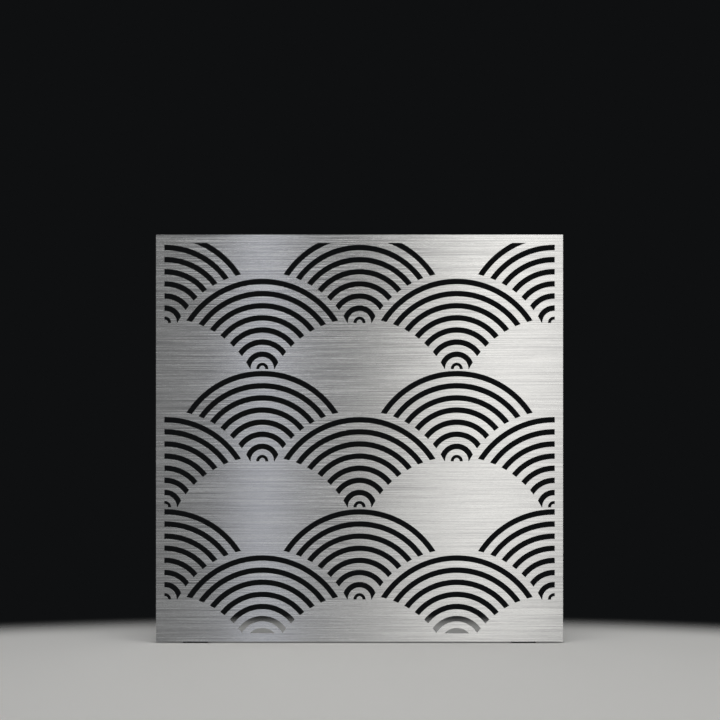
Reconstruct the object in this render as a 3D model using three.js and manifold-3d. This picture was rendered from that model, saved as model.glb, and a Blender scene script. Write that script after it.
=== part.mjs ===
// A free-standing laser-cut metal screen, as its maker would build it.
//
// One brushed stainless sheet carries the whole pattern of overlapping wave scales. Weld
// studs on its back, which leave its face unmarked, hold a frame of four folded angles with
// corner plates, and two bent plate feet that stand behind the sheet's uncut bottom corners.
//
// Millimetres. +X is the viewer's right, +Y runs from the viewer to the back, +Z is up.
// The origin is the middle of the footprint, on the floor.

import * as THREE from "three";
import { mergeVertices } from "three/addons/utils/BufferGeometryUtils.js";
import Module from "manifold-3d";

const wasm = await Module();
wasm.setup();

// ---------------------------------------------------------------- driving dimensions

// The sheet.
const sheetWidth = 1000;
const sheetHeight = 1000;
const sheetThickness = 2;
const sheetLift = 4; // from the floor to the sheet's bottom edge
const borderWidth = 20; // uncut margin round the pattern

// The wave scales: rings of slots about centres that sit in staggered rows.
const columnPitch = 239; // sideways from one column of centres to the next
const rowPitch = 113.3; // down from one row of centres to the next
const topRowDrop = 216; // from the sheet's top edge to the first row of centres
const blankRowEvery = 3; // the third row of each three is left uncut
const outerRingRadius = 221.2; // outer edge of a scale's widest slot
const ringPitch = 29.8;
const slotWidth = 13.75;
const archRadius = 14.8; // the small arch at the middle of each scale
const archSlotWidth = 7.7;
const springDrop = 1.2; // a scale's slots end this far below its centre

// The frame: angles folded from sheet, with one leg on the sheet and one leg pointing back.
const frameInset = 1; // the frame stands back this far from the sheet's edges
const angleThickness = 2;
const faceLeg = 18;
const returnLeg = 25;
const angleBend = 2; // inner radius of the fold
const mitreGap = 0.3; // each mitred end is cut back by this much
const cornerPlateArm = 52; // from the frame's outer corner to the end of an arm
const cornerPlateThickness = 2;
const cornerPlateMargin = 0.5; // from the fold, and from the edge of the face leg
const cornerPlateRound = 3;

// The feet: thick plate, bent once.
const footInset = 96; // from the sheet's side edge to the middle of a foot
const footWidth = 80;
const footThickness = 10;
const footBend = 10; // inner radius of the bend
const footHeight = 73; // over the upright, from the underside of the foot
const footReach = 298; // from the sheet's back to the foot's far end
const footRound = 18; // corners at the far end
const footShoulder = 8; // top corners of the upright
const footStudSpread = 24; // from the foot's middle line to an upper stud
const footStudDrop = 14; // from the top of the upright to the upper studs
const floorHoleRadius = 4.5; // for a floor anchor
const floorHoleSetback = 24; // from the foot's far end
const keepOut = 4; // no slot comes closer than this to a foot

// Rubber pads under the bottom rail and under the far ends of the feet.
const padWidth = 60;
const frontPadDepth = 24;
const rearPadDepth = 36;
const padRound = 5;
const padHoleRadius = 6;

// Weld studs and flange nuts.
const frameFixing = {
  shank: 2.5,
  studLength: 12,
  flange: 3.25,
  flangeHeight: 0.8,
  tipChamfer: 0.5,
  acrossFlats: 8,
  nutFlange: 5.9,
  nutRim: 0.7,
  nutHeight: 5,
};
const footFixing = {
  shank: 3,
  studLength: 18,
  flange: 3.75,
  flangeHeight: 1,
  tipChamfer: 0.6,
  acrossFlats: 10,
  nutFlange: 7.1,
  nutRim: 0.8,
  nutHeight: 6,
};
const frameStudsPerSide = 4;
const cornerStudOffset = 39; // from the frame's outer corner to the nearest stud
const studClearance = 0.25; // round a stud or its flange, in a plate
const threadClearance = 0.15; // between a stud and its nut
const nutSeatMargin = 2; // from the foot's bend to the lower nut
const notchClearance = 0.5; // between the bottom rail's notch and the foot in it

// How finely round shapes are faceted.
const slotSag = 0.85; // from a facet's middle to the arc through its two corners
const fewestSides = 14; // of a whole ring of slot
const smallArcSteps = 3; // steps in a rounded corner or a fold
const footBendSteps = 6;
const studSides = 8;

// ---------------------------------------------------------------- what follows from them

const sheetBottom = sheetLift;
const sheetTop = sheetBottom + sheetHeight;
const sheetMiddle = (sheetBottom + sheetTop) / 2;
const sheetBack = sheetThickness;
const angleBack = sheetBack + angleThickness; // where the corner plates and nuts sit
const frameWidth = sheetWidth - 2 * frameInset;
const frameHeight = sheetHeight - 2 * frameInset;
const railUnderside = sheetBottom + frameInset;
const footCentre = sheetWidth / 2 - footInset; // from the screen's middle
const footUnderside = railUnderside + angleThickness;
const footTop = footUnderside + footHeight;
const footEnd = sheetBack + footReach;
const footBack = sheetBack + footThickness;
const foldEdge = angleThickness + angleBend; // where the fold ends and the flat leg starts
const studLine = (foldEdge + faceLeg) / 2; // from the frame's outer edge to the studs
const landWidth = ringPitch - slotWidth;
const footUpperStud = footTop - footStudDrop;
const footLowerStud =
  footUnderside + footThickness + footBend + footFixing.nutFlange + nutSeatMargin;

const MATERIALS = {
  brushed: new THREE.MeshStandardMaterial({ color: 0xb9b9b8, roughness: 0.34, metalness: 1 }),
  mill: new THREE.MeshStandardMaterial({ color: 0xa3a5a6, roughness: 0.45, metalness: 1 }),
  fastener: new THREE.MeshStandardMaterial({ color: 0xc2c3c4, roughness: 0.3, metalness: 1 }),
  rubber: new THREE.MeshStandardMaterial({ color: 0x1c1c1d, roughness: 0.85, metalness: 0 }),
};

const screen = new THREE.Group();
screen.position.y = -footEnd / 2;

function addPart(name, geometry, material) {
  const mesh = new THREE.Mesh(geometry, material);
  mesh.name = name;
  screen.add(mesh);
  return mesh;
}

// ---------------------------------------------------------------- solids and booleans

function toSolid(geometry) {
  const bare = geometry.clone();
  bare.deleteAttribute("normal");
  bare.deleteAttribute("uv");
  const merged = mergeVertices(bare, 1e-4);
  return new wasm.Manifold(
    new wasm.Mesh({
      numProp: 3,
      vertProperties: new Float32Array(merged.attributes.position.array),
      triVerts: new Uint32Array(merged.index.array),
    }),
  );
}

function toGeometry(solid) {
  const mesh = solid.getMesh();
  const geometry = new THREE.BufferGeometry();
  geometry.setAttribute("position", new THREE.BufferAttribute(mesh.vertProperties, 3));
  geometry.setIndex(new THREE.BufferAttribute(mesh.triVerts, 1));
  geometry.computeVertexNormals();
  return geometry;
}

// Cuts each tool away from a piece in turn.
function cutAway(geometry, tools) {
  const start = toSolid(geometry);
  return toGeometry(tools.reduce((left, tool) => left.subtract(toSolid(tool)), start));
}

// A plate drawn as seen from the front, x across and y up, from one depth to another.
function frontPlate(shape, fromY, toY, curveSegments = smallArcSteps) {
  const depth = toY - fromY;
  return new THREE.ExtrudeGeometry(shape, { depth, bevelEnabled: false, curveSegments })
    .rotateX(Math.PI / 2)
    .translate(0, toY, 0);
}

// A plate drawn as seen from above, x across and y back, from one height to another.
function floorPlate(shape, fromZ, toZ, curveSegments = smallArcSteps) {
  const depth = toZ - fromZ;
  return new THREE.ExtrudeGeometry(shape, { depth, bevelEnabled: false, curveSegments })
    .translate(0, 0, fromZ);
}

// An outline whose corners are rounded: each corner is [x, y, radius].
function roundedOutline(corners) {
  const shape = new THREE.Shape();
  const count = corners.length;
  corners.forEach(([x, y, radius], i) => {
    const corner = new THREE.Vector2(x, y);
    const before = corners[(i + count - 1) % count];
    const after = corners[(i + 1) % count];
    const toBefore = new THREE.Vector2(before[0] - x, before[1] - y).normalize();
    const toAfter = new THREE.Vector2(after[0] - x, after[1] - y).normalize();
    const start = corner.clone().addScaledVector(toBefore, radius);
    const end = corner.clone().addScaledVector(toAfter, radius);
    if (i === 0) shape.moveTo(start.x, start.y);
    else shape.lineTo(start.x, start.y);
    if (radius > 0) {
      // Every corner here is a right angle, so the arc's centre completes a square.
      const centre = start.clone().add(end).sub(corner);
      const from = Math.atan2(start.y - centre.y, start.x - centre.x);
      const to = Math.atan2(end.y - centre.y, end.x - centre.x);
      const clockwise = toBefore.cross(toAfter) > 0;
      shape.absarc(centre.x, centre.y, radius, from, to, clockwise);
    }
  });
  return shape;
}

function roundedRectangle(left, right, low, high, radius) {
  return roundedOutline([
    [left, low, radius],
    [right, low, radius],
    [right, high, radius],
    [left, high, radius],
  ]);
}

// A round bar along Y, used as a drill.
function drillBack(x, z, radius, fromY, toY) {
  return new THREE.CylinderGeometry(radius, radius, toY - fromY, studSides)
    .translate(x, (fromY + toY) / 2, z);
}

function drillDown(x, y, radius, fromZ, toZ) {
  return new THREE.CylinderGeometry(radius, radius, toZ - fromZ, studSides)
    .rotateX(Math.PI / 2)
    .translate(x, y, (fromZ + toZ) / 2);
}

// ---------------------------------------------------------------- the sheet

function sidesFor(radius) {
  return Math.max(fewestSides, Math.ceil(Math.PI / Math.acos(1 - slotSag / radius)));
}

// A disc through the sheet. Its facets straddle the true circle.
function discCutter(x, z, radius, sides = sidesFor(radius)) {
  const corner = (2 * radius) / (1 + Math.cos(Math.PI / sides));
  const disc = new THREE.CylinderGeometry(corner, corner, sheetThickness + 4, sides);
  return toSolid(disc.translate(x, sheetThickness / 2, z));
}

function ringCutter(outer, width) {
  const sides = sidesFor(outer);
  return discCutter(0, 0, outer, sides).subtract(discCutter(0, 0, outer - width, sides));
}

// The slots of one scale about the origin. The two scales beside and below it overlap it
// and keep a full land of metal round them. Nothing is cut below its own centre.
function scaleSlots() {
  let slots = ringCutter(archRadius, archSlotWidth);
  for (let outer = outerRingRadius; outer - slotWidth > archRadius; outer -= ringPitch)
    slots = slots.add(ringCutter(outer, slotWidth));
  const coverRadius = outerRingRadius + landWidth;
  const below = roundedRectangle(-sheetWidth, sheetWidth, -sheetHeight, -springDrop, 0);
  return slots
    .subtract(discCutter(-columnPitch, -rowPitch, coverRadius))
    .subtract(discCutter(columnPitch, -rowPitch, coverRadius))
    .subtract(toSolid(frontPlate(below, -2, sheetThickness + 2)));
}

// Centres of every scale that reaches the pattern's window, left out where a row is blank.
function scaleCentres() {
  const centres = [];
  const columns = Math.ceil((sheetWidth / 2 + outerRingRadius) / columnPitch);
  const rows = Math.ceil((sheetHeight + outerRingRadius - topRowDrop) / rowPitch);
  for (let row = 0; row <= rows; row++) {
    if (row % blankRowEvery === blankRowEvery - 1) continue;
    for (let column = -columns; column <= columns; column++) {
      if (Math.abs(column) % 2 !== row % 2) continue;
      const x = column * columnPitch;
      const z = sheetTop - topRowDrop - row * rowPitch;
      const inReach = Math.abs(x) <= sheetWidth / 2 && z + outerRingRadius > sheetBottom + borderWidth;
      if (inReach) centres.push([x, z]);
    }
  }
  return centres;
}

function sheetGeometry() {
  const outline = roundedRectangle(-sheetWidth / 2, sheetWidth / 2, sheetBottom, sheetTop, 0);
  const side = sheetWidth / 2 - borderWidth;
  const window = roundedRectangle(-side, side, sheetBottom + borderWidth, sheetTop - borderWidth, 0);
  const oneScale = scaleSlots();
  let slots = null;
  for (const [x, z] of scaleCentres()) {
    const scale = oneScale.translate([x, 0, z]);
    slots = slots ? slots.add(scale) : scale;
  }
  slots = slots.intersect(toSolid(frontPlate(window, -2, sheetThickness + 2)));
  for (const sign of [-1, 1]) {
    const reach = footWidth / 2 + keepOut;
    const whole = roundedRectangle(-reach, reach, sheetBottom, footTop + keepOut, 0);
    const zone = frontPlate(whole, -2, sheetThickness + 2).translate(sign * footCentre, 0, 0);
    slots = slots.subtract(toSolid(zone));
  }
  return toGeometry(toSolid(frontPlate(outline, 0, sheetThickness)).subtract(slots));
}

// ---------------------------------------------------------------- the frame

// Places along one side, measured from its middle, of the studs that hold it.
function studPlaces(length) {
  const end = length / 2 - cornerStudOffset;
  const step = (2 * end) / (frameStudsPerSide - 1);
  return Array.from({ length: frameStudsPerSide }, (_, i) => -end + i * step);
}

// The angle's section: first number inward from the frame's edge, second number backward.
function angleSection() {
  const outer = angleThickness + angleBend;
  const section = new THREE.Shape();
  section.moveTo(faceLeg, 0);
  section.lineTo(faceLeg, angleThickness);
  section.lineTo(outer, angleThickness);
  section.absarc(outer, outer, angleBend, -Math.PI / 2, -Math.PI, true);
  section.lineTo(angleThickness, returnLeg);
  section.lineTo(0, returnLeg);
  section.lineTo(0, outer);
  section.absarc(outer, outer, outer, Math.PI, 1.5 * Math.PI, false);
  return section;
}

// One side of the frame, lying along X as the bottom rail does, its outer edge at z = 0 and
// its front at y = 0. Each end is mitred: a point slides back by its distance inward.
function mitredAngle(length, notches) {
  const bar = new THREE.ExtrudeGeometry(angleSection(), {
    depth: length,
    bevelEnabled: false,
    curveSegments: smallArcSteps,
  });
  const place = bar.attributes.position;
  for (let i = 0; i < place.count; i++) {
    const inward = place.getX(i);
    const backward = place.getY(i);
    const end = place.getZ(i) > length / 2 ? -1 : 1;
    place.setXYZ(i, end * (length / 2 - mitreGap - inward), backward, inward);
  }
  const holes = studPlaces(length).map((x) =>
    drillBack(x, studLine, frameFixing.flange + studClearance, -1, angleThickness + 1),
  );
  const cuts = notches.map((x) => {
    const reach = footWidth / 2 + notchClearance;
    const cut = roundedRectangle(x - reach, x + reach, foldEdge, faceLeg + 1, 0);
    return frontPlate(cut, -1, angleThickness + 1);
  });
  return cutAway(bar, [...holes, ...cuts]);
}

function addFrame() {
  const sides = [
    { name: "frame_bottom_rail", length: frameWidth, turn: 0, notches: [-footCentre, footCentre] },
    { name: "frame_left_stile", length: frameHeight, turn: Math.PI / 2, notches: [] },
    { name: "frame_top_rail", length: frameWidth, turn: Math.PI, notches: [] },
    { name: "frame_right_stile", length: frameHeight, turn: -Math.PI / 2, notches: [] },
  ];
  for (const { name, length, turn, notches } of sides) {
    const outward = (length === frameWidth && turn % Math.PI === 0 ? frameHeight : frameWidth) / 2;
    const geometry = mitredAngle(length, notches).translate(0, 0, -outward).rotateY(turn);
    addPart(name, geometry.translate(0, sheetBack, sheetMiddle), MATERIALS.mill);
  }
}

// An L-shaped plate that ties two mitred angles together, in the bottom left corner.
function cornerPlate() {
  const outer = foldEdge + cornerPlateMargin;
  const inner = faceLeg - cornerPlateMargin;
  const round = cornerPlateRound;
  const outline = roundedOutline([
    [outer, outer, round],
    [cornerPlateArm, outer, round],
    [cornerPlateArm, inner, round],
    [inner, inner, round],
    [inner, cornerPlateArm, round],
    [outer, cornerPlateArm, round],
  ]);
  const holeRadius = frameFixing.shank + studClearance;
  const holes = [
    [cornerStudOffset, studLine],
    [studLine, cornerStudOffset],
  ].map(([x, z]) => drillBack(x, z, holeRadius, -1, cornerPlateThickness + 1));
  return cutAway(frontPlate(outline, 0, cornerPlateThickness), holes);
}

function addCornerPlates() {
  const corners = [
    { name: "corner_plate_bottom_left", turn: 0 },
    { name: "corner_plate_top_left", turn: Math.PI / 2 },
    { name: "corner_plate_top_right", turn: Math.PI },
    { name: "corner_plate_bottom_right", turn: -Math.PI / 2 },
  ];
  for (const { name, turn } of corners) {
    const upright = Math.abs(Math.abs(turn) - Math.PI / 2) < 1e-6;
    const across = (upright ? frameHeight : frameWidth) / 2;
    const up = (upright ? frameWidth : frameHeight) / 2;
    const geometry = cornerPlate().translate(-across, 0, -up).rotateY(turn);
    addPart(name, geometry.translate(0, angleBack, sheetMiddle), MATERIALS.mill);
  }
}

// ---------------------------------------------------------------- studs and nuts

// A weld stud along +Y from y = 0: a thin flange, a shank and a chamfered tip.
function studGeometry({ shank, studLength, flange, flangeHeight, tipChamfer }) {
  const profile = [
    [0, 0],
    [flange, 0],
    [flange, flangeHeight],
    [shank, flangeHeight],
    [shank, studLength - tipChamfer],
    [shank - tipChamfer, studLength],
    [0, studLength],
  ].map(([radius, height]) => new THREE.Vector2(radius, height));
  return new THREE.LatheGeometry(profile, studSides);
}

// A hexagon flange nut along +Y, its flange down on y = 0.
function nutGeometry({ shank, acrossFlats, nutFlange, nutRim, nutHeight }) {
  const corner = acrossFlats / Math.sqrt(3);
  const flat = acrossFlats / 2;
  const hexagon = new THREE.CylinderGeometry(corner, corner, nutHeight, 6)
    .translate(0, nutHeight / 2, 0);
  const flange = [
    [0, 0],
    [nutFlange, 0],
    [nutFlange, nutRim],
    [flat, nutRim + (nutFlange - flat) * 0.45],
    [0, nutRim + (nutFlange - flat) * 0.45],
  ].map(([radius, height]) => new THREE.Vector2(radius, height));
  const bore = new THREE.CylinderGeometry(
    shank + threadClearance,
    shank + threadClearance,
    3 * nutHeight,
    studSides,
  );
  return toGeometry(
    toSolid(hexagon)
      .add(toSolid(new THREE.LatheGeometry(flange, 12)))
      .subtract(toSolid(bore)),
  );
}

function addFixing(label, fixing, x, z, seat) {
  const [kind, where] = label;
  const stud = studGeometry(fixing).translate(x, sheetBack, z);
  addPart(`${kind}_stud_${where}`, stud, MATERIALS.fastener);
  addPart(`${kind}_nut_${where}`, nutGeometry(fixing).translate(x, seat, z), MATERIALS.fastener);
}

function addFrameFixings() {
  const across = studPlaces(frameWidth);
  const upward = studPlaces(frameHeight);
  const sideX = frameWidth / 2 - studLine;
  const sideZ = frameHeight / 2 - studLine;
  const rows = [
    ["bottom", across.map((x) => [x, -sideZ])],
    ["top", across.map((x) => [x, sideZ])],
    ["left", upward.map((z) => [-sideX, z])],
    ["right", upward.map((z) => [sideX, z])],
  ];
  for (const [side, places] of rows)
    places.forEach(([x, z], i) => {
      const onPlate = i === 0 || i === places.length - 1;
      const seat = onPlate ? angleBack + cornerPlateThickness : angleBack;
      addFixing(["frame", `${side}_${i + 1}`], frameFixing, x, sheetMiddle + z, seat);
    });
}

function footStudPlaces() {
  return [
    [0, footLowerStud],
    [-footStudSpread, footUpperStud],
    [footStudSpread, footUpperStud],
  ];
}

function addFootFixings(side, middle) {
  footStudPlaces().forEach(([x, z], i) =>
    addFixing(["foot", `${side}_${i + 1}`], footFixing, middle + x, z, footBack),
  );
}

// ---------------------------------------------------------------- the feet and pads

// One foot, about x = 0: an upright on the sheet's back, a bend, and a base that runs back.
function footGeometry() {
  const outer = footThickness + footBend;
  const bendY = sheetBack + outer;
  const bendZ = footUnderside + outer;
  const section = new THREE.Shape();
  section.moveTo(sheetBack, footTop);
  section.lineTo(sheetBack, bendZ);
  section.absarc(bendY, bendZ, outer, Math.PI, 1.5 * Math.PI, false);
  section.lineTo(footEnd, footUnderside);
  section.lineTo(footEnd, footUnderside + footThickness);
  section.lineTo(bendY, footUnderside + footThickness);
  section.absarc(bendY, bendZ, footBend, -Math.PI / 2, -Math.PI, true);
  section.lineTo(footBack, footTop);
  // The section is drawn in y and z, and is turned to run across the foot's width.
  const bar = new THREE.ExtrudeGeometry(section, {
    depth: footWidth,
    bevelEnabled: false,
    curveSegments: footBendSteps,
  });
  bar.applyMatrix4(new THREE.Matrix4().makeBasis(
    new THREE.Vector3(0, 1, 0),
    new THREE.Vector3(0, 0, 1),
    new THREE.Vector3(1, 0, 0),
  ));
  bar.translate(-footWidth / 2, 0, 0);
  const half = footWidth / 2;
  const fromAbove = roundedOutline([
    [-half, sheetBack - footRound, 0],
    [half, sheetBack - footRound, 0],
    [half, footEnd, footRound],
    [-half, footEnd, footRound],
  ]);
  const fromFront = roundedOutline([
    [-half, footUnderside - footShoulder, 0],
    [half, footUnderside - footShoulder, 0],
    [half, footTop, footShoulder],
    [-half, footTop, footShoulder],
  ]);
  const holes = footStudPlaces().map(([x, z]) =>
    drillBack(x, z, footFixing.flange + studClearance, 0, footBack + 1),
  );
  holes.push(drillDown(0, footEnd - floorHoleSetback, floorHoleRadius, 0, footTop));
  const shaped = toSolid(bar)
    .intersect(toSolid(floorPlate(fromAbove, 0, footTop + 1, footBendSteps)))
    .intersect(toSolid(frontPlate(fromFront, 0, footEnd + 1)));
  return cutAway(toGeometry(shaped), holes);
}

function frontPadGeometry() {
  const back = sheetBack + returnLeg - cornerPlateMargin;
  const half = padWidth / 2;
  return floorPlate(
    roundedRectangle(-half, half, back - frontPadDepth, back, padRound),
    0,
    railUnderside,
  );
}

function rearPadGeometry() {
  const middle = footEnd - floorHoleSetback;
  const half = padWidth / 2;
  const low = middle - rearPadDepth / 2;
  const pad = floorPlate(
    roundedRectangle(-half, half, low, low + rearPadDepth, padRound),
    0,
    footUnderside,
  );
  return cutAway(pad, [drillDown(0, middle, padHoleRadius, -1, footUnderside + 1)]);
}

function addFeet() {
  for (const [side, middle] of [["left", -footCentre], ["right", footCentre]]) {
    addPart(`foot_${side}`, footGeometry().translate(middle, 0, 0), MATERIALS.mill);
    addFootFixings(side, middle);
    const frontPad = frontPadGeometry().translate(middle, 0, 0);
    const rearPad = rearPadGeometry().translate(middle, 0, 0);
    addPart(`front_pad_${side}`, frontPad, MATERIALS.rubber);
    addPart(`rear_pad_${side}`, rearPad, MATERIALS.rubber);
  }
}

// ---------------------------------------------------------------- the whole screen

addPart("screen_sheet", sheetGeometry(), MATERIALS.brushed);
addFrame();
addCornerPlates();
addFrameFixings();
addFeet();

export default screen;
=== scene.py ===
"""Looks of a free-standing laser-cut metal screen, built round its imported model.

The screen is one square of brushed stainless sheet, pierced with traditional overlapping
wave scales. Behind its uncut border are a frame of folded angles, corner plates, weld studs
with flange nuts, and two bent plate feet on rubber pads.

Lengths are in metres. +X is the viewer's right, +Y runs to the back, +Z is up, and the
origin is the middle of the footprint on the floor.
"""

import math

import bmesh
import bpy
from mathutils import Matrix, Vector


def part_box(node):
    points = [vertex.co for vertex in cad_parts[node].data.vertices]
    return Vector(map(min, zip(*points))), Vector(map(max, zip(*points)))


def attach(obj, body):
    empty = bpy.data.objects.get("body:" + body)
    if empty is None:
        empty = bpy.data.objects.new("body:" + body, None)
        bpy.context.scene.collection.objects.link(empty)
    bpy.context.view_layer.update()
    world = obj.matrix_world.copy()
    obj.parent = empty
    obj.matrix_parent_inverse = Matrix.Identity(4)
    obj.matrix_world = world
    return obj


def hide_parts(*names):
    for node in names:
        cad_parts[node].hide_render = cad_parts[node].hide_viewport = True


MM = 0.001
QUARTER_TURN = math.pi / 2


# ------------------------------------------------------------------ small helpers


def linear(hex_code):
    """Turns an sRGB hex colour into the linear colour that a shader socket takes."""

    def channel(start):
        value = int(hex_code[start : start + 2], 16) / 255
        if value <= 0.04045:
            return value / 12.92
        return ((value + 0.055) / 1.055) ** 2.4

    return (channel(1), channel(3), channel(5), 1.0)


def add_node(tree, kind, links=None, **settings):
    """Adds a node. Each link names an input and gives its value, or the socket that feeds it."""
    node = tree.nodes.new(kind)
    for name, value in settings.items():
        setattr(node, name, value)
    for key, value in (links or {}).items():
        socket = node.inputs[key]
        if isinstance(value, bpy.types.NodeSocket):
            tree.links.new(value, socket)
        else:
            socket.default_value = value
    return node


def add_object(name, data):
    made = bpy.data.objects.new(name, data)
    bpy.context.scene.collection.objects.link(made)
    return made


def drop_object(spent):
    bpy.data.objects.remove(spent, do_unlink=True)


def shade_by_angle(mesh, degrees=32):
    """Smooth shading that stays crisp wherever two faces meet at more than this angle."""
    shape = bmesh.new()
    shape.from_mesh(mesh)
    limit = math.radians(degrees)
    for face in shape.faces:
        face.smooth = True
    for edge in shape.edges:
        edge.smooth = len(edge.link_faces) == 2 and edge.calc_face_angle(0) < limit
    shape.to_mesh(mesh)
    shape.free()


# ------------------------------------------------------------------ sizes

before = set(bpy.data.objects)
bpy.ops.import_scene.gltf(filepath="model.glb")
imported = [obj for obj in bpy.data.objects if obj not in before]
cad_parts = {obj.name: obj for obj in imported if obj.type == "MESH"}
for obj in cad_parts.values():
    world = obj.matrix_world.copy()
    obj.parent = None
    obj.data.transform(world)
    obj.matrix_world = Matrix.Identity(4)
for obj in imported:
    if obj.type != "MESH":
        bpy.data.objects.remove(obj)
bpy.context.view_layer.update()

SHEET_WIDTH = 1000 * MM
SHEET_HEIGHT = 1000 * MM
SHEET_THICKNESS = 2 * MM
SHEET_BOTTOM = 4 * MM
SHEET_TOP = SHEET_BOTTOM + SHEET_HEIGHT
SHEET_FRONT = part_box("screen_sheet")[0][1]
SHEET_BACK = SHEET_FRONT + SHEET_THICKNESS

# The wave scales. The sheet's node tree has an input by each of these names.
SCALES = {
    "Border": 20 * MM,
    "Column pitch": 239 * MM,
    "Row pitch": 113.3 * MM,
    "Top row drop": 216 * MM,
    "Widest ring radius": 221.2 * MM,
    "Ring pitch": 29.8 * MM,
    "Slot width": 13.75 * MM,
    "Arch radius": 14.8 * MM,
    "Arch slot width": 7.7 * MM,
    "Spring drop": 1.2 * MM,
}
RINGS = 7  # of slot in one scale, round its small arch
ROWS = 8  # of scale centres, the uncut rows counted
COLUMNS = 3  # of scale centres in one row
BLANK_ROW_EVERY = 3  # the last row of each three is left uncut
RING_SIDES = 176

CUTTER_DEPTH = 5 * SHEET_THICKNESS
TRIMMER_DEPTH = 2 * CUTTER_DEPTH  # of what shapes the cutters
SKIRT_WIDTH = 2.0  # of the block that cuts a scale off at its foot
SKIRT_HEIGHT = 1.0
WALL_FACING = 0.5  # a cut wall's normal points out of the sheet by less than this

# What is taken off the sharp edges of each kind of piece.
SHEET_BREAK = 0.15 * MM
ANGLE_BREAK = 0.3 * MM
CORNER_PLATE_BREAK = 0.25 * MM
FOOT_BREAK = 0.8 * MM
PAD_BREAK = 0.7 * MM


# ------------------------------------------------------------------ the pierced sheet


def ring_cutters(tree, radii, width, count):
    """Whole rings of slot about the origin, deeper than the sheet is thick."""
    circle = add_node(
        tree,
        "GeometryNodeCurvePrimitiveCircle",
        {"Resolution": RING_SIDES, "Radius": 1.0},
    )
    points = add_node(tree, "GeometryNodePoints", {"Count": count})
    rings = add_node(
        tree,
        "GeometryNodeInstanceOnPoints",
        {"Points": points.outputs[0], "Instance": circle.outputs[0], "Scale": radii},
    )
    real = add_node(tree, "GeometryNodeRealizeInstances", {"Geometry": rings.outputs[0]})
    even = add_node(tree, "GeometryNodeSetCurveRadius", {"Curve": real.outputs[0], "Radius": 1.0})
    section = add_node(
        tree,
        "GeometryNodeCurvePrimitiveQuadrilateral",
        {"Width": width, "Height": CUTTER_DEPTH},
    )
    return add_node(
        tree,
        "GeometryNodeCurveToMesh",
        {"Curve": even.outputs[0], "Profile Curve": section.outputs[0], "Fill Caps": True},
    ).outputs[0]


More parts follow.
